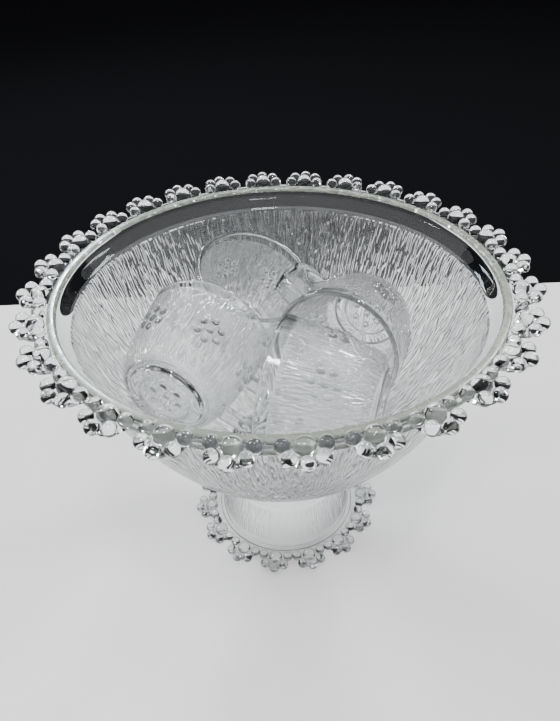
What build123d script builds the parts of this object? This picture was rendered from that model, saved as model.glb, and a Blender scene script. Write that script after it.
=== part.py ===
from build123d import *
import os
from math import cos, pi, radians, sin, sqrt

# Pressed-glass punch bowl on a separate stand, with four handled cups lying in it.
# Millimetres. The origin is the centre of the stand's base ring, on the table, and +Z is up.

# ---- punch bowl ----
BOWL_CENTRE_Z = 228.2        # height of the centre of the ellipse that the wall follows
BOWL_OUTER_A = 121.6         # outer ellipse, half width
BOWL_OUTER_B = 179.7         # outer ellipse, half height
BOWL_INNER_A = 117.9         # inner ellipse, half width
BOWL_INNER_B = 173.4         # inner ellipse, half height, so the bottom is thicker than the wall
BOWL_FLARE_Z = 166.0         # the wall leaves the ellipse here and flares into the lip
LIP_TOP_Z = 183.0
LIP_OUTER_R = 122.4
LIP_INNER_R = 118.4
LIP_EDGE = 0.8               # rounding of the lip's edges
LIP_SIDE_Z = 177.5           # the lip's outer face is upright above this
BOWL_FOOT_OUTER_R = 34.4
BOWL_FOOT_INNER_R = 30.6
BOWL_FOOT_JOIN_R = 38.0      # where the foot ring meets the wall
BOWL_UNDERSIDE_Z = 50.0      # flat underside inside the foot ring
SEAT_Z = 47.0                # the foot ring stands on the stand's shoulder at this height

BOWL_CLUSTERS = 28
BOWL_CLUSTER_R = 127.6       # from the bowl's axis to the middle of each bead cluster
BOWL_BEAD_Z = 183.8
BOWL_WEB_Z = 180.6           # the beads stand on the web, a little sunk into it
BOWL_FIRST_ANGLE = -86.9     # direction of the first cluster, in degrees from +X
BOWL_HUB_R = 4.8
BOWL_PETAL_R = 3.5
BOWL_PETAL_REACH = 9.0       # from a cluster's middle to each petal's middle
BOWL_WEB_THICKNESS = 2.6
BOWL_DISC_THICKNESS = 3.0    # the web is a little thicker under each cluster
BOWL_WEB_R = 127.5           # outer edge of the glass web between clusters

# ---- stand: a small bowl of the same pattern, upside down ----
STAND_LIP_R = 46.4
STAND_LIP_INNER_R = 42.8
STAND_LIP_TOP_Z = 4.2        # top of the smooth flared lip
STAND_LIP_TOP_R = 43.8
STAND_SHOULDER_R = 35.4
STAND_SPIGOT_R = 29.6        # upturned foot that centres the punch bowl
STAND_SPIGOT_INNER_R = 24.0
STAND_SPIGOT_TOP_Z = 49.6
STAND_DISH_Z = 47.4          # floor of the recess inside the upturned foot
STAND_CEILING_Z = 41.5
STAND_WALL = 3.6

STAND_CLUSTERS = 15
STAND_CLUSTER_R = 53.0
STAND_BEAD_Z = 4.3
STAND_WEB_Z = 2.8
STAND_FIRST_ANGLE = -99.5
STAND_HUB_R = 4.2
STAND_PETAL_R = 3.0
STAND_PETAL_REACH = 8.0
STAND_WEB_THICKNESS = 2.2
STAND_DISC_THICKNESS = 2.6
STAND_WEB_R = 52.0

PETAL_ANGLES = (-100, -50, 0, 50, 100)   # petals round a hub, measured from the outward direction

# ---- punch cup ----
CUP_HEIGHT = 60.0
CUP_MOUTH_R = 37.0
CUP_MOUTH_INNER_R = 34.2
CUP_FOOT_R = 21.4
CUP_FOOT_INNER_R = 14.3
CUP_FOOT_HEIGHT = 3.0
CUP_RECESS_DEPTH = 2.0
CUP_WALL_START_R = 24.0      # outer wall where it leaves the foot
CUP_WALL_START_H = 4.0
CUP_WALL_POWER = 0.42        # how quickly the outer wall opens from its start to the mouth
CUP_CAVITY_R = 18.0          # flat floor inside
CUP_CAVITY_H = 7.0
CUP_CAVITY_POWER = 0.36

HANDLE_TOP_H = 46.0
HANDLE_BOTTOM_H = 13.0
HANDLE_OUTER_R = 53.0
HANDLE_THICKNESS = 4.2
HANDLE_WIDTH = 11.0
HANDLE_CORNER = 9.0
HANDLE_EDGE = 1.6

FLOWERS = 6
FLOWER_H = 30.0              # height of each flower's middle above the foot
FLOWER_REACH = 6.4           # from a flower's middle to its petals
FLOWER_DOT_R = 2.1
FLOWER_DOT_SINK = 1.0        # how far a dot's middle lies under the wall's surface
BASE_FLOWER_REACH = 8.0
BASE_FLOWER_DOT_R = 2.6
BASE_FLOWER_DOT_SINK = 1.4

# Each cup: middle of its foot, direction from foot to mouth, direction of its handle.
CUP_PLACES = {
    "cup_front_left": ((-63.0, -48.0, 140.5), (0.36, 0.93, 0.06), (0.80, -0.28, -0.52)),
    "cup_back": ((-32.2, 60.6, 105.5), (0.31, -0.27, 0.91), (-0.88, -0.44, 0.17)),
    "cup_right": ((57.0, 35.0, 135.5), (-0.455, -0.88, 0.14), (-0.73, 0.46, 0.51)),
    "cup_front_right": ((51.5, -62.0, 140.5), (-0.945, 0.31, 0.10), (-0.05, 0.17, -0.985)),
}


def spun(edges):
    """Solid made by turning a closed outline in the XZ plane about the Z axis."""
    return revolve(make_face([Plane.XZ * edge for edge in edges]), Axis.Z)


def ellipse_z(r, half_width, half_height):
    """Height of the bowl's ellipse at radius r."""
    return BOWL_CENTRE_Z - half_height * sqrt(1 - (r / half_width) ** 2)


def ellipse_r(z, half_width, half_height):
    """Radius of the bowl's ellipse at height z."""
    return half_width * sqrt(1 - ((BOWL_CENTRE_Z - z) / half_height) ** 2)


def ellipse_points(first_z, last_z, half_width, half_height, count):
    """Points on the bowl's ellipse between two heights, closer together near the bottom."""
    points = []
    for step in range(count):
        z = first_z + (last_z - first_z) * (step / (count - 1)) ** 2
        points.append((ellipse_r(z, half_width, half_height), z))
    return points


def bead_cluster(hub_r, petal_r, petal_reach, disc_thickness, disc_drop):
    """One flower of beads about the origin, open towards -X: a hub and petals on a lower disc."""
    petals = []
    for angle in PETAL_ANGLES:
        place = Pos(petal_reach * cos(radians(angle)), petal_reach * sin(radians(angle)), 0)
        petals.append(place * Rot(0, 0, angle) * Rot(0, -90, 0) * Sphere(petal_r))
    disc = Pos(0, 0, -disc_drop) * Cylinder(petal_reach, disc_thickness)
    return disc.fuse(Sphere(hub_r), *petals)


def ring_of(cluster, count, ring_r, bead_z, first_angle):
    """The same bead cluster repeated round a ring, always facing outward."""
    ring = []
    for step in range(count):
        turn = Rot(0, 0, first_angle + 360 * step / count)
        ring.append(Pos(0, 0, bead_z) * turn * Pos(ring_r, 0, 0) * cluster)
    return ring


def make_bowl():
    """The punch bowl: wall, lip, foot ring and bead clusters in one piece of glass."""
    flare_outer = ellipse_r(BOWL_FLARE_Z, BOWL_OUTER_A, BOWL_OUTER_B)
    flare_inner = ellipse_r(BOWL_FLARE_Z, BOWL_INNER_A, BOWL_INNER_B)
    join_z = ellipse_z(BOWL_FOOT_JOIN_R, BOWL_OUTER_A, BOWL_OUTER_B)
    inner_bottom_z = BOWL_CENTRE_Z - BOWL_INNER_B
    lip_shoulder_z = LIP_TOP_Z - LIP_EDGE
    rim_up = (0.35, 1)
    outer_wall = Spline(ellipse_points(join_z, BOWL_FLARE_Z, BOWL_OUTER_A, BOWL_OUTER_B, 9))
    outer_flare = Spline((flare_outer, BOWL_FLARE_Z), (LIP_OUTER_R, LIP_SIDE_Z), tangents=(outer_wall % 1, (0, 1)))
    inner_wall = Spline(ellipse_points(inner_bottom_z, BOWL_FLARE_Z, BOWL_INNER_A, BOWL_INNER_B, 10))
    inner_flare = Spline((flare_inner, BOWL_FLARE_Z), (LIP_INNER_R, lip_shoulder_z), tangents=(inner_wall % 1, rim_up))
    edge_middle = LIP_EDGE * (1 - sqrt(0.5))
    outline = [
        Line((0, inner_bottom_z), (0, BOWL_UNDERSIDE_Z)),
        Line((0, BOWL_UNDERSIDE_Z), (BOWL_FOOT_INNER_R, BOWL_UNDERSIDE_Z)),
        Line((BOWL_FOOT_INNER_R, BOWL_UNDERSIDE_Z), (BOWL_FOOT_INNER_R, SEAT_Z)),
        Line((BOWL_FOOT_INNER_R, SEAT_Z), (BOWL_FOOT_OUTER_R, SEAT_Z)),
        Line((BOWL_FOOT_OUTER_R, SEAT_Z), (BOWL_FOOT_JOIN_R, join_z)),
        outer_wall,
        outer_flare,
        Line((LIP_OUTER_R, LIP_SIDE_Z), (LIP_OUTER_R, lip_shoulder_z)),
        ThreePointArc(
            (LIP_OUTER_R, lip_shoulder_z),
            (LIP_OUTER_R - edge_middle, LIP_TOP_Z - edge_middle),
            (LIP_OUTER_R - LIP_EDGE, LIP_TOP_Z),
        ),
        Line((LIP_OUTER_R - LIP_EDGE, LIP_TOP_Z), (LIP_INNER_R + LIP_EDGE, LIP_TOP_Z)),
        ThreePointArc(
            (LIP_INNER_R + LIP_EDGE, LIP_TOP_Z),
            (LIP_INNER_R + edge_middle, LIP_TOP_Z - edge_middle),
            (LIP_INNER_R, lip_shoulder_z),
        ),
        inner_flare,
        inner_wall,
    ]
    cluster = bead_cluster(
        BOWL_HUB_R, BOWL_PETAL_R, BOWL_PETAL_REACH, BOWL_DISC_THICKNESS, BOWL_BEAD_Z - BOWL_WEB_Z
    )
    clusters = ring_of(cluster, BOWL_CLUSTERS, BOWL_CLUSTER_R, BOWL_BEAD_Z, BOWL_FIRST_ANGLE)
    web = Cylinder(BOWL_WEB_R, BOWL_WEB_THICKNESS) - Cylinder(LIP_INNER_R + 2, BOWL_WEB_THICKNESS)
    bowl = spun(outline).fuse(Pos(0, 0, BOWL_WEB_Z) * web)
    for placed in clusters:
        bowl = bowl.fuse(placed)
    return bowl


def make_stand():
    """The stand: an upturned small bowl, hollow underneath, with its own bead clusters."""
    outer_wall = Spline(
        (STAND_LIP_TOP_R, STAND_LIP_TOP_Z),
        (40.6, 18.0),
        (36.8, 36.0),
        (STAND_SHOULDER_R, SEAT_Z),
    )
    inner_wall = Spline(
        (STAND_LIP_INNER_R - STAND_WALL / 2, STAND_LIP_TOP_Z),
        (40.6 - STAND_WALL, 18.0),
        (36.2 - STAND_WALL, 32.0),
        (STAND_SPIGOT_INNER_R, STAND_CEILING_Z),
    )
    outline = [
        Line((STAND_LIP_INNER_R, 0), (STAND_LIP_R, 0)),
        Line((STAND_LIP_R, 0), (STAND_LIP_R, 1.6)),
        Line((STAND_LIP_R, 1.6), (STAND_LIP_TOP_R, STAND_LIP_TOP_Z)),
        outer_wall,
        Line((STAND_SHOULDER_R, SEAT_Z), (STAND_SPIGOT_R, SEAT_Z)),
        Line((STAND_SPIGOT_R, SEAT_Z), (STAND_SPIGOT_R, STAND_SPIGOT_TOP_Z)),
        Line((STAND_SPIGOT_R, STAND_SPIGOT_TOP_Z), (STAND_SPIGOT_INNER_R, STAND_SPIGOT_TOP_Z)),
        Line((STAND_SPIGOT_INNER_R, STAND_SPIGOT_TOP_Z), (STAND_SPIGOT_INNER_R, STAND_DISH_Z)),
        Line((STAND_SPIGOT_INNER_R, STAND_DISH_Z), (0, STAND_DISH_Z)),
        Line((0, STAND_DISH_Z), (0, STAND_CEILING_Z)),
        Line((0, STAND_CEILING_Z), (STAND_SPIGOT_INNER_R, STAND_CEILING_Z)),
        inner_wall,
        Line((STAND_LIP_INNER_R - STAND_WALL / 2, STAND_LIP_TOP_Z), (STAND_LIP_INNER_R, 0)),
    ]
    cluster = bead_cluster(
        STAND_HUB_R, STAND_PETAL_R, STAND_PETAL_REACH, STAND_DISC_THICKNESS, STAND_BEAD_Z - STAND_WEB_Z
    )
    clusters = ring_of(cluster, STAND_CLUSTERS, STAND_CLUSTER_R, STAND_BEAD_Z, STAND_FIRST_ANGLE)
    web = Cylinder(STAND_WEB_R, STAND_WEB_THICKNESS) - Cylinder(STAND_LIP_TOP_R - 2, STAND_WEB_THICKNESS)
    stand = spun(outline).fuse(Pos(0, 0, STAND_WEB_Z) * web)
    for placed in clusters:
        stand = stand.fuse(placed)
    return stand


def cup_outer_r(h):
    """Outer radius of the cup's wall at height h above the foot."""
    share = (h - CUP_WALL_START_H) / (CUP_HEIGHT - CUP_WALL_START_H)
    return CUP_WALL_START_R + (CUP_MOUTH_R - CUP_WALL_START_R) * share ** CUP_WALL_POWER


def cup_cavity_r(h):
    """Radius of the space inside the cup at height h above the foot."""
    share = (h - CUP_CAVITY_H) / (CUP_HEIGHT - CUP_CAVITY_H)
    return CUP_CAVITY_R + (CUP_MOUTH_INNER_R - CUP_CAVITY_R) * share ** CUP_CAVITY_POWER


def wall_points(radius_at, first_h, last_h, count):
    """Points up a cup wall, closer together where it turns near the bottom."""
    points = []
    for step in range(count):
        h = first_h + (last_h - first_h) * (step / (count - 1)) ** 2.5
        points.append((radius_at(h), h))
    return points


def make_handle():
    """Ribbon handle: a rounded square loop, standing out from the wall towards +X."""
    height = HANDLE_TOP_H - HANDLE_BOTTOM_H
    inner_x = CUP_CAVITY_R
    length = HANDLE_OUTER_R - inner_x
    middle = Pos((HANDLE_OUTER_R + inner_x) / 2, (HANDLE_TOP_H + HANDLE_BOTTOM_H) / 2)
    outer = middle * RectangleRounded(length, height, HANDLE_CORNER)
    window = middle * RectangleRounded(
        length - 2 * HANDLE_THICKNESS, height - 2 * HANDLE_THICKNESS, HANDLE_CORNER - HANDLE_THICKNESS
    )
    loop = extrude(Plane.XZ * (outer - window), HANDLE_WIDTH / 2, both=True)
    sides = loop.faces().filter_by(Axis.Y)
    return fillet(sides.edges(), HANDLE_EDGE)


def flower_dots():
    """Dots of the flowers round the wall: one in the middle of each and six about it."""
    dots = []
    dot = Sphere(FLOWER_DOT_R)
    for flower in range(FLOWERS):
        turn = 360 * (flower + 0.5) / FLOWERS
        for petal in range(7):
            across = 0 if petal == 6 else FLOWER_REACH * cos(radians(60 * petal + 30))
            up = 0 if petal == 6 else FLOWER_REACH * sin(radians(60 * petal + 30))
            h = FLOWER_H + up
            r = cup_outer_r(h) - FLOWER_DOT_SINK
            dots.append(Rot(0, 0, turn + across / r * 180 / pi) * Pos(r, 0, h) * dot)
    return dots


def base_dots():
    """Dots of the flower in the recess under the cup."""
    h = CUP_RECESS_DEPTH + BASE_FLOWER_DOT_SINK
    dots = [Pos(0, 0, h) * Sphere(BASE_FLOWER_DOT_R)]
    for petal in range(6):
        dots.append(Rot(0, 0, 60 * petal) * Pos(BASE_FLOWER_REACH, 0, h) * Sphere(BASE_FLOWER_DOT_R))
    return dots


def make_cup():
    """One punch cup on its foot at the origin, mouth up, handle towards +X."""
    rim_r = (CUP_MOUTH_R - CUP_MOUTH_INNER_R) / 2
    shoulder_h = CUP_HEIGHT - rim_r
    outer_wall = Spline(wall_points(cup_outer_r, CUP_WALL_START_H, shoulder_h, 9))
    inner_wall = Spline(wall_points(cup_cavity_r, CUP_CAVITY_H, shoulder_h, 9))
    rim = ThreePointArc(outer_wall @ 1, (CUP_MOUTH_R - rim_r, CUP_HEIGHT), inner_wall @ 1)
    mouth = inner_wall @ 1
    body = spun([
        Line((0, shoulder_h), (0, CUP_RECESS_DEPTH)),
        Line((0, CUP_RECESS_DEPTH), (CUP_FOOT_INNER_R, CUP_RECESS_DEPTH)),
        Line((CUP_FOOT_INNER_R, CUP_RECESS_DEPTH), (CUP_FOOT_INNER_R + 1, 0)),
        Line((CUP_FOOT_INNER_R + 1, 0), (CUP_FOOT_R - 1.5, 0)),
        Line((CUP_FOOT_R - 1.5, 0), (CUP_FOOT_R, 1.5)),
        Line((CUP_FOOT_R, 1.5), (CUP_FOOT_R, CUP_FOOT_HEIGHT)),
        Line((CUP_FOOT_R, CUP_FOOT_HEIGHT), outer_wall @ 0),
        outer_wall,
        rim,
        Line(mouth, (0, shoulder_h)),
    ])
    cavity = spun([
        inner_wall,
        Line(inner_wall @ 0, (0, CUP_CAVITY_H)),
        Line((0, CUP_CAVITY_H), (0, CUP_HEIGHT + 1)),
        Line((0, CUP_HEIGHT + 1), (mouth.X, CUP_HEIGHT + 1)),
        Line((mouth.X, CUP_HEIGHT + 1), mouth),
    ])
    return body.fuse(make_handle(), *flower_dots(), *base_dots()) - cavity


def lying(cup, foot, towards_mouth, towards_handle):
    """The cup moved to where it lies in the bowl."""
    axis = Vector(*towards_mouth).normalized()
    handle = Vector(*towards_handle)
    across = handle - axis * handle.dot(axis)
    return Plane(origin=foot, x_dir=across, z_dir=axis).location * cup


def main():
    os.makedirs("parts", exist_ok=True)
    nodes = {"stand": make_stand(), "punch_bowl": make_bowl()}
    cup = make_cup()
    for name, (foot, towards_mouth, towards_handle) in CUP_PLACES.items():
        nodes[name] = lying(cup, foot, towards_mouth, towards_handle)
    for name, shape in nodes.items():
        export_step(shape, f"parts/{name}.step")


main()
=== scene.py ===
import math

import bpy
import numpy as np
from mathutils import Matrix, Vector


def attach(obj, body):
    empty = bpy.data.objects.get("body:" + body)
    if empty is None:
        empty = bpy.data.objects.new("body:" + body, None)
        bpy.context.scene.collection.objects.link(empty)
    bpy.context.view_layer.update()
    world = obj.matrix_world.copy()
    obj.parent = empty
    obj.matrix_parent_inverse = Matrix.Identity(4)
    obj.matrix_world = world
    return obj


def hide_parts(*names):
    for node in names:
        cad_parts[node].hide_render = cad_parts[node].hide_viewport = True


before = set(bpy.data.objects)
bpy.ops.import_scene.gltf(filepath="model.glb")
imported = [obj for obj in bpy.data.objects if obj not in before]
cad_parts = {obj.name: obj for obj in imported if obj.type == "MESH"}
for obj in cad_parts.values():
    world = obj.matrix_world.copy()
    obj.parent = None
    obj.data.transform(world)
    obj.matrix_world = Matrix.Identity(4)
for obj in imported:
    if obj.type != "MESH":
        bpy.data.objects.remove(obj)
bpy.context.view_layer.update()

MM = 0.001
PETAL_TURNS = (-100, -50, 0, 50, 100)  # degrees round a hub, from the outward direction
BEAD_CUT = 0.6                        # beads are flat underneath, this part of a radius down
OWN_PLACE = "own_place"               # a point's place in its piece's own upright frame

# ---------------------------------------------------------------- materials


def link(tree, a, b):
    tree.links.new(a, b)


def math_node(tree, kind, a, b=None, c=None):
    node = tree.nodes.new("ShaderNodeMath")
    node.operation = kind
    for place, value in enumerate((a, b, c)):
        if value is None:
            continue
        if isinstance(value, (int, float)):
            node.inputs[place].default_value = value
        else:
            link(tree, value, node.inputs[place])
    return node.outputs[0]


def step_up(tree, value, low, high):
    """0 below low, 1 above high and smooth between them."""
    node = tree.nodes.new("ShaderNodeMapRange")
    node.interpolation_type = "SMOOTHSTEP"
    link(tree, value, node.inputs[0])
    node.inputs[1].default_value = low
    node.inputs[2].default_value = high
    return node.outputs[0]


def noise(tree, vector, scale, detail, distortion=0.0):
    node = tree.nodes.new("ShaderNodeTexNoise")
    link(tree, vector, node.inputs["Vector"])
    node.inputs["Scale"].default_value = scale
    node.inputs["Detail"].default_value = detail
    node.inputs["Distortion"].default_value = distortion
    return node.outputs[0]


def glass(name, tint, bark=None, haze_most=0.03, edge_painted_shade=0.0, milk=0.0):
    """Clear pressed glass. bark is (low, high, turn, along, depth): grain runs up the wall between
    two heights, and turn and along set how narrow and how short its streaks are. The edge shade argument
    is painted shade: it darkens the glass's colour where it is seen edge on, to draw the dark outlines that
    thick beads show on a pale table. milk is the part that scatters light."""
    material = bpy.data.materials.new(name)
    material.use_nodes = True
    tree = material.node_tree
    shader = tree.nodes["Principled BSDF"]
    out = tree.nodes["Material Output"]
    shader.inputs["Base Color"].default_value = (*tint, 1)
    shader.inputs["Transmission Weight"].default_value = 1 - milk
    shader.inputs["IOR"].default_value = 1.5
    place = tree.nodes.new("ShaderNodeAttribute")
    place.attribute_name = OWN_PLACE
    height = math_node(tree, "MULTIPLY", noise(tree, place.outputs["Vector"], 40.0, 0.0), 0.12)
    depth = 0.0008
    if bark:
        low, high, turn, along, depth = bark
        parts = tree.nodes.new("ShaderNodeSeparateXYZ")
        link(tree, place.outputs["Vector"], parts.inputs[0])
        x, y, z = parts.outputs
        square = math_node(tree, "MULTIPLY_ADD", x, x, math_node(tree, "MULTIPLY", y, y))
        r = math_node(tree, "MAXIMUM", math_node(tree, "SQRT", square), 0.002)
        around = tree.nodes.new("ShaderNodeCombineXYZ")
        link(tree, math_node(tree, "MULTIPLY", math_node(tree, "DIVIDE", x, r), turn), around.inputs[0])
        link(tree, math_node(tree, "MULTIPLY", math_node(tree, "DIVIDE", y, r), turn), around.inputs[1])
        link(tree, math_node(tree, "MULTIPLY", math_node(tree, "ADD", z, r), along), around.inputs[2])
        grain = noise(tree, around.outputs[0], 1.0, 0.5, 0.12)
        ridge = math_node(tree, "ABSOLUTE", math_node(tree, "SUBTRACT", grain, 0.5))
        ridge = step_up(tree, ridge, 0.0, 0.17)
        fade = math_node(tree, "SUBTRACT", step_up(tree, z, low, low + 0.003),
                         step_up(tree, z, high - 0.002, high))
        height = math_node(tree, "MULTIPLY_ADD", ridge, fade, height)
    bump = tree.nodes.new("ShaderNodeBump")
    bump.inputs["Strength"].default_value = 1.0
    bump.inputs["Distance"].default_value = depth
    link(tree, height, bump.inputs["Height"])
    link(tree, bump.outputs[0], shader.inputs["Normal"])
    haze = noise(tree, place.outputs["Vector"], 160.0, 2.0)
    link(tree, math_node(tree, "MULTIPLY", haze, haze_most), shader.inputs["Roughness"])
    clear = tree.nodes.new("ShaderNodeBsdfTransparent")
    edge = tree.nodes.new("ShaderNodeLayerWeight")
    edge.inputs["Blend"].default_value = 0.35
    shade = step_up(tree, edge.outputs["Facing"], 0.05, 0.75)
    # painted shade: the glass's colour is darkened where it is seen edge on, to draw dark outlines round the
    # beads
    if edge_painted_shade:
        shaded_tint = tree.nodes.new("ShaderNodeCombineColor")
        for channel, part in enumerate(tint):
            shaded_channel = math_node(tree, "MULTIPLY_ADD", shade, -edge_painted_shade * part, part)
            link(tree, shaded_channel, shaded_tint.inputs[channel])
        link(tree, shaded_tint.outputs[0], shader.inputs["Base Color"])
    shade = math_node(tree, "MULTIPLY_ADD", shade, -0.62, 0.95)
    link(tree, shade, clear.inputs[0])
    mix = tree.nodes.new("ShaderNodeMixShader")
    path_kind = tree.nodes.new("ShaderNodeLightPath")
    link(tree, path_kind.outputs["Is Shadow Ray"], mix.inputs[0])
    link(tree, shader.outputs[0], mix.inputs[1])
    link(tree, clear.outputs[0], mix.inputs[2])
    link(tree, mix.outputs[0], out.inputs[0])
    return material


# ---------------------------------------------------------------- mesh helpers


def add_object(name, points, faces):
    mesh = bpy.data.meshes.new(name)
    mesh.from_pydata(points, [], faces)
    mesh.polygons.foreach_set("use_smooth", [True] * len(mesh.polygons))
    obj = bpy.data.objects.new(name, mesh)
    bpy.context.scene.collection.objects.link(obj)
    return obj


def turned(name, profile, segments, shift=None):
    """Closed mesh turned about Z. The profile (r, z) starts and ends on the axis, or is a ring
    when closed on itself. shift(angle, r, z) may move a point."""
    on_axis = profile[0][0] == 0
    rows = profile[1:-1] if on_axis else profile
    points = []
    for r, z in rows:
        for step in range(segments):
            angle = 2 * math.pi * step / segments
            rr, zz = shift(angle, r, z) if shift else (r, z)
            points.append((rr * math.cos(angle) * MM, rr * math.sin(angle) * MM, zz * MM))
    faces = []
    count = len(rows)
    for row in range(count if not on_axis else count - 1):
        after = (row + 1) % count
        for step in range(segments):
            beside = (step + 1) % segments
            faces.append((row * segments + step, after * segments + step,
                          after * segments + beside, row * segments + beside))
    if on_axis:
        first, last = len(points), len(points) + 1
        points.append((0, 0, profile[0][1] * MM))
        points.append((0, 0, profile[-1][1] * MM))
        base = (count - 1) * segments
        for step in range(segments):
            beside = (step + 1) % segments
            faces.append((first, step, beside))
            faces.append((last, base + beside, base + step))
    return add_object(name, points, faces)


def face_outward(obj):
    """Turns the faces so that the mesh holds a positive volume."""
    mesh = obj.data
    mesh.calc_loop_triangles()
    volume = 0.0
    for tri in mesh.loop_triangles:
        a, b, c = (mesh.vertices[i].co for i in tri.vertices)
        volume += a.dot(b.cross(c))
    if volume < 0:
        mesh.flip_normals()
    return obj


def balls(name, places, across=24, up=16, cut=1.0):
    """Closed spheres: places holds (centre, radius) in millimetres. Each is cut flat underneath,
    at cut times its radius below its centre."""
    points, faces = [], []
    for (cx, cy, cz), radius in places:
        base = len(points)
        points.append((cx * MM, cy * MM, (cz + radius) * MM))
        for row in range(1, up):
            tilt = math.pi * row / up
            for step in range(across):
                turn = 2 * math.pi * step / across
                points.append(((cx + radius * math.sin(tilt) * math.cos(turn)) * MM,
                               (cy + radius * math.sin(tilt) * math.sin(turn)) * MM,
                               (cz + radius * max(math.cos(tilt), -cut)) * MM))
        points.append((cx * MM, cy * MM, (cz - radius * cut) * MM))
        last = len(points) - 1
        for step in range(across):
            beside = (step + 1) % across
            faces.append((base, base + 1 + step, base + 1 + beside))
            low = base + 1 + (up - 2) * across
            faces.append((last, low + beside, low + step))
            for row in range(up - 2):
                a = base + 1 + row * across
                faces.append((a + step, a + across + step, a + across + beside, a + beside))
    return add_object(name, points, faces)


def combine(target, other, how):
    """Boolean of two closed meshes, applied; the second object goes."""
    modifier = target.modifiers.new("combine", "BOOLEAN")
    modifier.object = other
    modifier.operation = how
    modifier.solver = "MANIFOLD"
    graph = bpy.context.evaluated_depsgraph_get()
    mesh = bpy.data.meshes.new_from_object(target.evaluated_get(graph))
    target.modifiers.clear()
    old = target.data
    target.data = mesh
    bpy.data.meshes.remove(old)
    bpy.data.objects.remove(other)
    return target


def finish_glass(obj, finishes, finish_of, body):
    """Gives every face one of the finishes, by its radius, height and how far it faces outward."""
    mesh = obj.data
    mesh.materials.clear()
    for finish in finishes:
        mesh.materials.append(finish)
    count = len(mesh.polygons)
    centre, normal = np.empty(count * 3, np.float32), np.empty(count * 3, np.float32)
    mesh.polygons.foreach_get("center", centre)
    mesh.polygons.foreach_get("normal", normal)
    centre, normal = centre.reshape(-1, 3) / MM, normal.reshape(-1, 3)
    r = np.hypot(centre[:, 0], centre[:, 1])
    outward = (centre[:, :2] * normal[:, :2]).sum(1) / np.maximum(r, 0.1)
    mesh.polygons.foreach_set("material_index", finish_of(r, centre[:, 2], outward).astype(np.int32))
    mesh.polygons.foreach_set("use_smooth", [True] * count)
    mesh.set_sharp_from_angle(angle=math.radians(38))
    place = np.empty(len(mesh.vertices) * 3, np.float32)
    mesh.vertices.foreach_get("co", place)
    mesh.attributes.new(OWN_PLACE, "FLOAT_VECTOR", "POINT").data.foreach_set("vector", place)
    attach(obj, body)
    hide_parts(body)
    return obj


def arc(cx, cz, radius, first, last, count):
    found = []
    for i in range(count):
        a = math.radians(first + (last - first) * i / (count - 1))
        found.append((cx + radius * math.cos(a), cz + radius * math.sin(a)))
    return found


def hermite(p, q, dp, dq, count):
    """Points of a smooth curve from p to q, without q."""
    found = []
    for i in range(count):
        t = i / count
        a, b = 2 * t**3 - 3 * t**2 + 1, -2 * t**3 + 3 * t**2
        c, d = t**3 - 2 * t**2 + t, t**3 - t**2
        found.append(tuple(a * p[k] + b * q[k] + c * dp[k] + d * dq[k] for k in range(2)))
    return found


# ---------------------------------------------------------------- bowl

CENTRE_Z = 228.2                      # centre of the ellipses that the wall follows
OUTER = (121.6, 179.7)                # half width and half height outside
INNER = (117.9, 173.4)                # and inside
FLARE_Z = 166                         # where the wall leaves the ellipses for the lip
FOOT_JOIN_R = 38                      # where the foot ring meets the wall
BOWL_CLUSTERS = 28
BOWL_FIRST = math.radians(-86.9)
BOWL_RING_R = 127.6
BOWL_BEAD_Z = 183.8
BOWL_REACH = 9.0                      # hub centre to petal centre
STAND_CLUSTERS = 15
STAND_FIRST = math.radians(-99.5)
STAND_RING_R = 53.0
STAND_BEAD_Z = 4.3
STAND_REACH = 8.0


def wall(z, ellipse):
    return ellipse[0] * math.sqrt(max(0.0, 1 - ((CENTRE_Z - z) / ellipse[1]) ** 2))


def wall_slope(z, ellipse, length):
    a, b = wall(z - 0.5, ellipse), wall(z + 0.5, ellipse)
    k = length / math.hypot(b - a, 1)
    return ((b - a) * k, k)


def bowl_profile():
    bottom = CENTRE_Z - INNER[1]
    fine = 130
    rising = [bottom + (FLARE_Z - bottom) * (i / fine) ** 2 for i in range(1, fine)]
    inner = [(wall(z, INNER), z) for z in rising]
    inner_top = (wall(FLARE_Z, INNER), FLARE_Z)
    flare_in = hermite(inner_top, (118.4, 182.2), wall_slope(FLARE_Z, INNER, 17), (6, 16), 14)
    lip = arc(119.2, 182.2, 0.8, 180, 90, 6) + [(120.4, 183.0)] + arc(121.6, 182.2, 0.8, 90, 0, 6)
    side = [(122.4, 181.0), (122.4, 179.5), (122.4, 178.5)]
    outer_top = (wall(FLARE_Z, OUTER), FLARE_Z)
    downward = tuple(-v for v in wall_slope(FLARE_Z, OUTER, 13))
    flare_out = hermite((122.4, 177.5), outer_top, (0, -10), downward, 12)
    join = CENTRE_Z - OUTER[1] * math.sqrt(1 - (FOOT_JOIN_R / OUTER[0]) ** 2)
    falling = [FLARE_Z + (join - FLARE_Z) * (1 - (1 - i / fine) ** 2) for i in range(fine)]
    outer = [(wall(z, OUTER), z) for z in falling]
    foot = hermite((FOOT_JOIN_R, join), (34.4, 48.4), (-3, -1.5), (-0.8, -3.5), 8)
    foot += arc(33.2, 48.2, 1.2, 0, -90, 5) + arc(31.8, 48.2, 1.2, -90, -180, 5)
    under = [(30.6, 49.0), (30.6, 49.8), (30.2, 50.0), (24, 50.0), (14, 50.0), (6, 50.0)]
    return [(0, bottom)] + inner + flare_in + lip + side + flare_out + outer + foot + under + [(0, 50.0)]


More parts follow.
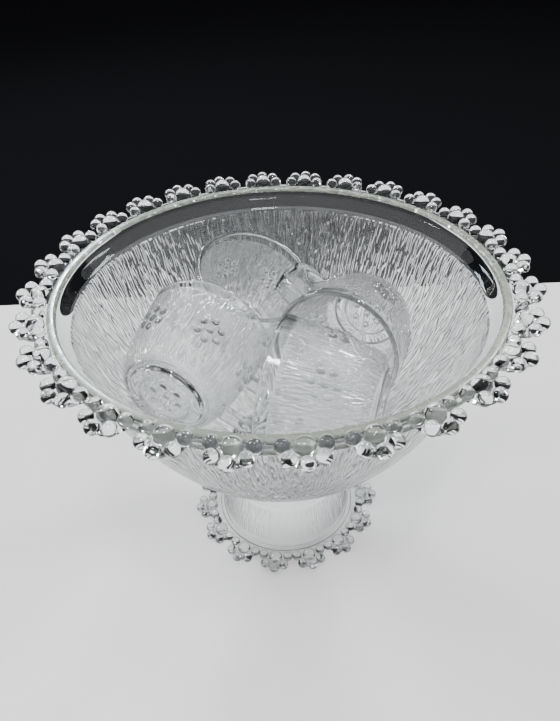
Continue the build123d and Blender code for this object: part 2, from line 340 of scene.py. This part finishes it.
def web_ring(name, inner_r, outer_r, thickness, z, count, first, ring_r, disc_r, segments):
    """Flat ring of glass whose outer edge swells into a scallop at each bead cluster."""
    def shift(angle, r, zz):
        turn = (angle - first) % (2 * math.pi / count)
        turn = min(turn, 2 * math.pi / count - turn)
        side = ring_r * math.sin(turn)
        edge = outer_r
        if side < disc_r:
            edge = max(outer_r, ring_r * math.cos(turn) + math.sqrt(disc_r**2 - side**2))
        return (inner_r + (edge - inner_r) * (r - inner_r) / (outer_r - inner_r), zz)
    half = thickness / 2
    across = ((0, 1), (0.5, 1), (0.93, 1), (0.985, 0.6), (1, 0),
              (0.985, -0.6), (0.93, -1), (0.5, -1), (0, -1))
    rows = [(inner_r + (outer_r - inner_r) * out, z + half * up) for out, up in across]
    return turned(name, rows, segments, shift)


def cluster_balls(count, first, ring_r, z, hub, petal, reach):
    """Beads of every cluster: a hub and five petals round its outer side."""
    places = []
    for k in range(count):
        a = first + 2 * math.pi * k / count
        cx, cy = ring_r * math.cos(a), ring_r * math.sin(a)
        places.append(((cx, cy, z), hub))
        for turn in PETAL_TURNS:
            b = a + math.radians(turn)
            places.append(((cx + reach * math.cos(b), cy + reach * math.sin(b), z), petal))
    return places


segments = BOWL_CLUSTERS * 22
bowl = face_outward(turned("punch_bowl_glass", bowl_profile(), segments))
web = face_outward(web_ring("web", 120.6, 127.2, 2.8, 180.6, BOWL_CLUSTERS, BOWL_FIRST,
                            BOWL_RING_R, BOWL_REACH, BOWL_CLUSTERS * 40))
bowl = combine(bowl, web, "UNION")
bead_places = cluster_balls(BOWL_CLUSTERS, BOWL_FIRST, BOWL_RING_R, BOWL_BEAD_Z, 4.8, 3.5, BOWL_REACH)
bead_mesh = balls("beads", bead_places, cut=BEAD_CUT)
bowl = combine(bowl, face_outward(bead_mesh), "UNION")

# ---------------------------------------------------------------- stand


def stand_profile():
    top = arc(28.6, 48.6, 1.0, 90, 0, 5)
    rows = [(0, 47.4), (10, 47.4), (20, 47.4), (23.6, 47.4), (24.0, 47.8), (24.0, 48.8)]
    rows += arc(25.0, 48.6, 1.0, 180, 90, 5) + top + [(29.6, 47.6), (29.7, 47.0), (31, 47.0), (34.4, 47.0)]
    rows += arc(34.4, 46.0, 1.0, 90, 0, 5)
    rows += hermite((35.4, 45.4), (43.6, 4.6), (0.6, -22), (9, -20), 40)
    rows += hermite((43.6, 4.6), (46.4, 1.2), (0.8, -1.6), (0.2, -2.8), 8)
    rows += arc(45.5, 0.9, 0.9, 0, -90, 5) + arc(43.7, 0.9, 0.9, -90, -180, 5)
    rows += hermite((42.6, 1.6), (40.9, 4.4), (-0.6, 2), (-1.2, 2.2), 6)
    rows += hermite((40.9, 4.4), (32.2, 34.0), (-6, 18), (-2, 14), 34)
    rows += hermite((32.2, 34.0), (24.0, 41.5), (-1.4, 8), (-8, 1.4), 12)
    return rows + [(24, 41.5), (16, 41.5), (8, 41.5), (0, 41.5)]


segments = STAND_CLUSTERS * 28
stand = face_outward(turned("stand_glass", stand_profile(), segments))
web = face_outward(web_ring("stand_web", 43.4, 51.8, 2.4, 2.8, STAND_CLUSTERS, STAND_FIRST,
                            STAND_RING_R, STAND_REACH, STAND_CLUSTERS * 60))
stand = combine(stand, web, "UNION")
bead_places = cluster_balls(STAND_CLUSTERS, STAND_FIRST, STAND_RING_R, STAND_BEAD_Z, 4.2, 3.0, STAND_REACH)
bead_mesh = balls("beads", bead_places, cut=BEAD_CUT)
stand = combine(stand, face_outward(bead_mesh), "UNION")

# ---------------------------------------------------------------- cups


def cup_outer(h):
    return 24 + 13 * ((h - 4) / 56) ** 0.42


def cup_inner(h):
    return 18 + 16.2 * ((h - 7) / 53) ** 0.36


def cup_solid_profile():
    rows = [(0, 2.0), (6, 2.0), (13.0, 2.0), (14.1, 1.6), (14.7, 0.5), (15.6, 0.0), (17.5, 0.0)]
    rows += [(19.6, 0.0)]
    rows += [(20.8, 0.4), (21.3, 1.3), (21.4, 2.2), (21.7, 3.0), (22.6, 3.6)]
    for i in range(60):
        h = 4 + 54.6 * ((i + 1) / 60) ** 2.2
        rows.append((cup_outer(h), h))
    rows += arc(35.6, 58.6, 1.4, 0, 90, 7)[1:]
    return rows + [(30, 60.0), (15, 60.0), (0, 60.0)]


def cup_cavity_profile():
    rows = [(0, 7.0), (9, 7.0), (16, 7.05)]
    for i in range(60):
        h = 7 + 51.6 * ((i + 1) / 60) ** 2.2
        rows.append((cup_inner(h), h))
    rows += [(34.2 - 0.05, 59.2), (34.6, 59.7), (35.4, 60.02), (35.4, 62.0)]
    return rows + [(20, 62.0), (0, 62.0)]


def cup_handle():
    """Ribbon loop swept round a rounded square, wider than it is thick."""
    path = []
    left, right, low, high, corner = 26.0, 50.9, 15.1, 43.9, 8.0
    path += [(left + (right - corner - left) * t / 8, low) for t in range(8)]
    path += arc(right - corner, low + corner, corner, -90, 0, 12)
    path += [(right, low + corner + (high - low - 2 * corner) * t / 6) for t in range(1, 6)]
    path += arc(right - corner, high - corner, corner, 0, 90, 12)
    path += [(right - corner - (right - corner - left) * t / 8, high) for t in range(1, 9)]
    section = []
    wide, thick, power = 5.5, 2.1, 0.5
    for i in range(24):
        a = 2 * math.pi * i / 24
        c, s = math.cos(a), math.sin(a)
        section.append((math.copysign(abs(c) ** power, c) * thick, math.copysign(abs(s) ** power, s) * wide))
    points, faces = [], []
    for i, (x, z) in enumerate(path):
        before, after = path[max(0, i - 1)], path[min(len(path) - 1, i + 1)]
        dx, dz = after[0] - before[0], after[1] - before[1]
        size = math.hypot(dx, dz)
        nx, nz = dz / size, -dx / size
        for u, v in section:
            points.append(((x + nx * u) * MM, v * MM, (z + nz * u) * MM))
    for i in range(len(path) - 1):
        for k in range(24):
            j = (k + 1) % 24
            faces.append((i * 24 + k, i * 24 + j, (i + 1) * 24 + j, (i + 1) * 24 + k))
    faces.append(tuple(reversed(range(24))))
    faces.append(tuple(range(len(points) - 24, len(points))))
    return face_outward(add_object("handle", points, faces))


def cup_dots():
    """Six flowers round the wall and one under the foot, each a dot ringed by six."""
    places = []
    for flower in range(6):
        for petal in range(7):
            across = 0 if petal == 6 else 6.4 * math.cos(math.radians(60 * petal + 30))
            up = 0 if petal == 6 else 6.4 * math.sin(math.radians(60 * petal + 30))
            h = 30 + up
            r = cup_outer(h) - 0.6
            a = math.radians(60 * flower + 30) + across / r
            places.append(((r * math.cos(a), r * math.sin(a), h), 2.4))
    places.append(((0, 0, 3.4), 2.6))
    for petal in range(6):
        a = math.radians(60 * petal)
        places.append(((8.0 * math.cos(a), 8.0 * math.sin(a), 3.4), 2.6))
    return places


def make_cup(name):
    segments = 240
    cup = face_outward(turned(name, cup_solid_profile(), segments))
    cup = combine(cup, cup_handle(), "UNION")
    cup = combine(cup, face_outward(balls("dots", cup_dots(), 20, 12)), "UNION")
    cavity = face_outward(turned("cavity", cup_cavity_profile(), segments))
    return combine(cup, cavity, "DIFFERENCE")


# Each cup's foot in millimetres, the direction from foot to mouth, and the side its handle is on.
CUPS = {
    "cup_front_left": ((-63.0, -48.0, 140.5), (0.36, 0.93, 0.06), (0.80, -0.28, -0.52)),
    "cup_back": ((-32.2, 60.6, 105.5), (0.31, -0.27, 0.91), (-0.88, -0.44, 0.17)),
    "cup_right": ((57.0, 35.0, 135.5), (-0.455, -0.88, 0.14), (-0.73, 0.46, 0.51)),
    "cup_front_right": ((51.5, -62.0, 140.5), (-0.945, 0.31, 0.10), (-0.05, 0.17, -0.985)),
}

clear_glass = glass("clear_glass", (0.97, 0.985, 0.985))
bowl_grain = glass("bowl_grain", (0.97, 0.985, 0.985), (0.056, 0.169, 64.0, 58.0, 0.0012), milk=0.06)
lip_glass = glass("lip_glass", (0.36, 0.385, 0.33), haze_most=0.5, milk=0.45)
# painted shade: the stand's glass is tinted darker than the bowl's and its edges are darkened, standing in
# for the contact shadow and dark outlines its beads show on the pale floor
stand_glass = glass("stand_shaded_clear", (0.86, 0.875, 0.875), edge_painted_shade=0.85)
stand_grain = glass("stand_grain", (0.95, 0.965, 0.965), (0.005, 0.032, 40.0, 90.0, 0.0004),
                    edge_painted_shade=0.4)
cup_grain = glass("cup_grain", (0.985, 0.99, 0.99), (0.005, 0.0525, 22.0, 80.0, 0.0006),
                  haze_most=0.2, milk=0.12)


def bowl_wall(r, z, outward):
    barked = (z > 55) & (z < 170) & (outward > 0.1) & (r > 37)
    lip = (z > 178) & (r > 117.9) & (r < 122.7)
    return barked + 2 * lip


def stand_wall(r, z, outward):
    return (z > 4.6) & (z < 33) & (outward > 0.1) & (r < 44)


def cup_wall(r, z, outward):
    return (z > 4) & (z < 53) & (outward > 0.1) & (r > cup_outer(np.maximum(z, 4)) - 0.2) \
        & (r < cup_outer(np.maximum(z, 4)) + 0.1)


finish_glass(bowl, (clear_glass, bowl_grain, lip_glass), bowl_wall, "punch_bowl")
finish_glass(stand, (stand_glass, stand_grain), stand_wall, "stand")

first_cup = make_cup("cup_mesh")
for body, (foot, towards_mouth, towards_handle) in CUPS.items():
    cup = bpy.data.objects.new(body + "_glass", first_cup.data.copy())
    bpy.context.scene.collection.objects.link(cup)
    axis = Vector(towards_mouth).normalized()
    handle = Vector(towards_handle)
    handle = (handle - axis * handle.dot(axis)).normalized()
    turn = Matrix((handle, axis.cross(handle), axis)).transposed()
    finish_glass(cup, (clear_glass, cup_grain), cup_wall, body)
    cup.data.transform(Matrix.Translation(Vector(foot) * MM) @ turn.to_4x4())
bpy.data.objects.remove(first_cup)

# ---------------------------------------------------------------- stage, light and camera


def flat_material(name, colour, rough):
    material = bpy.data.materials.new(name)
    material.use_nodes = True
    shader = material.node_tree.nodes["Principled BSDF"]
    shader.inputs["Base Color"].default_value = (*colour, 1)
    shader.inputs["Roughness"].default_value = rough
    shader.inputs["Specular IOR Level"].default_value = 0.0
    return material


def sheet(name, points, material):
    obj = add_object(name, points, [(i, i + 1, i + 3, i + 2) for i in range(0, len(points) - 2, 2)])
    obj.data.materials.append(material)
    return obj


TABLE_EDGE_Y = 0.27
FLOOR_Z = -0.0002
floor = [(x, y, FLOOR_Z) for y in (-2.5, TABLE_EDGE_Y) for x in (-2.5, 2.5)]
sheet("floor", floor, flat_material("floor_paint", (0.56, 0.55, 0.545), 0.7))
backdrop = [(x, y, z) for y, z in ((TABLE_EDGE_Y, -0.03), (2.4, -0.03), (2.6, 2.6)) for x in (-4, 4)]
sheet("backdrop", backdrop, flat_material("backdrop_paint", (0.008, 0.008, 0.009), 0.95))

world = bpy.data.worlds.new("studio")
bpy.context.scene.world = world
world.use_nodes = True
sky = world.node_tree
toward = sky.nodes.new("ShaderNodeTexCoord")
split = sky.nodes.new("ShaderNodeSeparateXYZ")
link(sky, toward.outputs["Generated"], split.inputs[0])
high = step_up(sky, split.outputs[2], 0.12, 0.75)
background = sky.nodes["Background"]
background.inputs[0].default_value = (0.97, 0.98, 1.0, 1)
link(sky, math_node(sky, "MULTIPLY_ADD", high, 0.55, 0.62), background.inputs[1])


def lamp(name, at, look, width, height, power, colour):
    light = bpy.data.lights.new(name, "AREA")
    light.shape = "RECTANGLE"
    light.size, light.size_y = width, height
    light.energy, light.color = power, colour
    obj = bpy.data.objects.new(name, light)
    bpy.context.scene.collection.objects.link(obj)
    obj.location = at
    obj.rotation_mode = "QUATERNION"
    obj.rotation_quaternion = (Vector(look) - Vector(at)).to_track_quat("-Z", "Y")


lamp("key", (0.75, 0.85, 1.2), (0, 0, 0.1), 0.22, 0.30, 11, (0.95, 0.98, 1.0))
lamp("left", (-1.1, 0.25, 0.9), (0, 0, 0.1), 0.20, 0.30, 7, (1.0, 0.96, 0.93))
lamp("top", (0.1, -0.45, 1.5), (0, 0, 0.1), 0.20, 0.20, 6, (1, 1, 1))
lamp("back_left", (-0.45, 1.1, 0.9), (0, 0, 0.15), 0.16, 0.26, 9, (0.82, 0.92, 1.0))
lamp("front", (-0.25, -0.75, 1.1), (0, 0, 0.15), 0.05, 0.05, 2.5, (1, 1, 1))

pitch, yaw, roll = 0.6726, 0.0064, -0.038     # radians; the camera looks down and is tilted a little
forward = Vector((math.sin(yaw) * math.cos(pitch), math.cos(yaw) * math.cos(pitch), -math.sin(pitch)))
right = Vector((math.cos(yaw), -math.sin(yaw), 0))
up = right.cross(forward)
right2 = right * math.cos(roll) + up * math.sin(roll)
up2 = up * math.cos(roll) - right * math.sin(roll)
data = bpy.data.cameras.new("camera")
data.sensor_width, data.lens = 36, 36 * 649.35 / 721
camera = bpy.data.objects.new("camera", data)
bpy.context.scene.collection.objects.link(camera)
turn = Matrix((right2, up2, -forward)).transposed().to_4x4()
camera.matrix_world = Matrix.Translation((-0.0026, -0.3039, 0.3681)) @ turn
data.clip_start = 0.01
bpy.context.scene.camera = camera
bpy.context.scene.view_settings.look = "AgX - Medium High Contrast"

bpy.context.view_layer.update()
